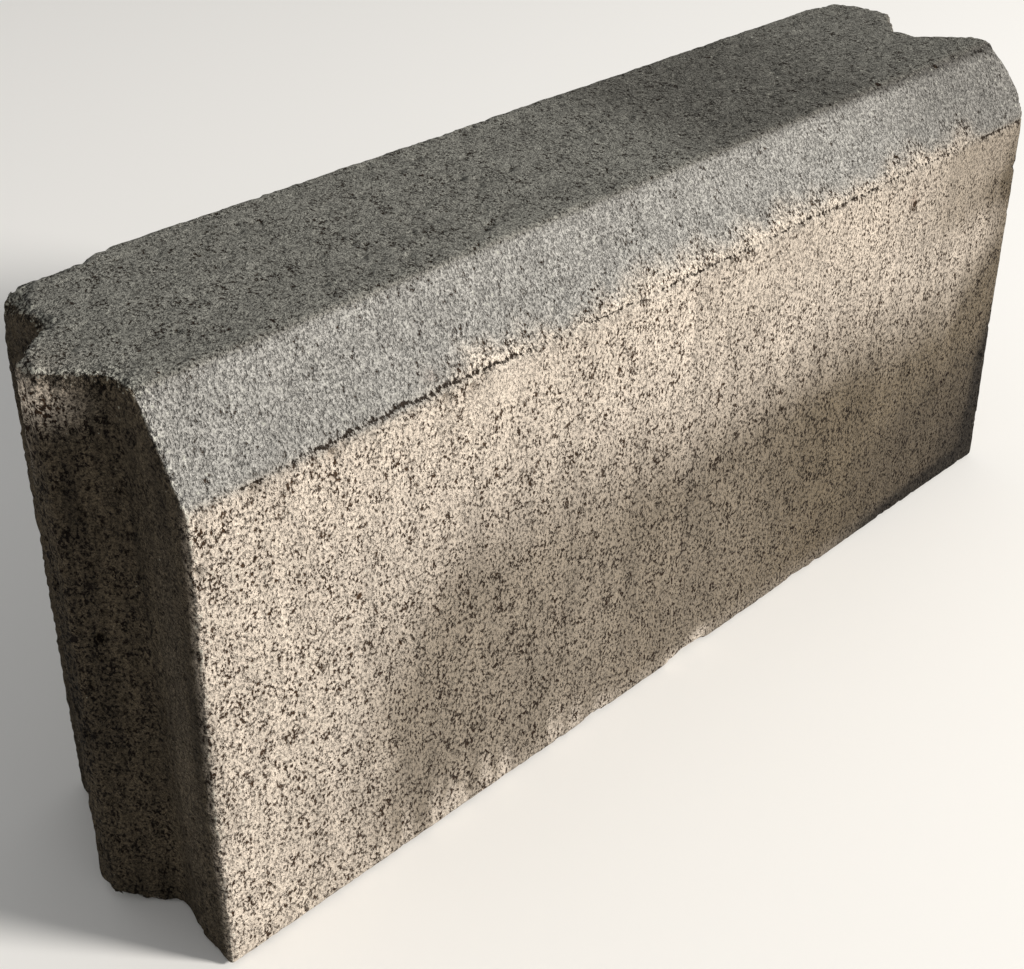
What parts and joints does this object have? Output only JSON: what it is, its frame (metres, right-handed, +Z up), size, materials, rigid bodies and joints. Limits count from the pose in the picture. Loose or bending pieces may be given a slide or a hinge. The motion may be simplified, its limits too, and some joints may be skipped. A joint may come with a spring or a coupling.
{
  "type": "kerb stone",
  "caption": "Straight precast concrete kerb stone with a sloped front top edge, a tongue down one end and a matching groove down the other, to stand in a row along a path or road.",
  "frame": {"origin": "centre of the bed face, midway between the two joint faces and between the front and back faces", "axes": "+X along the kerb, towards the grooved end; the sloped front face looks along -Y; +Z up from bed to top"},
  "size_m": [0.519, 0.125, 0.24],
  "materials": {
    "cast_concrete": "bare weathered cast concrete: matt, pitted, with open sand grains"
  },
  "bodies": {
    "root": {"kerb_stone": "cast_concrete"}
  },
  "joints": []
}
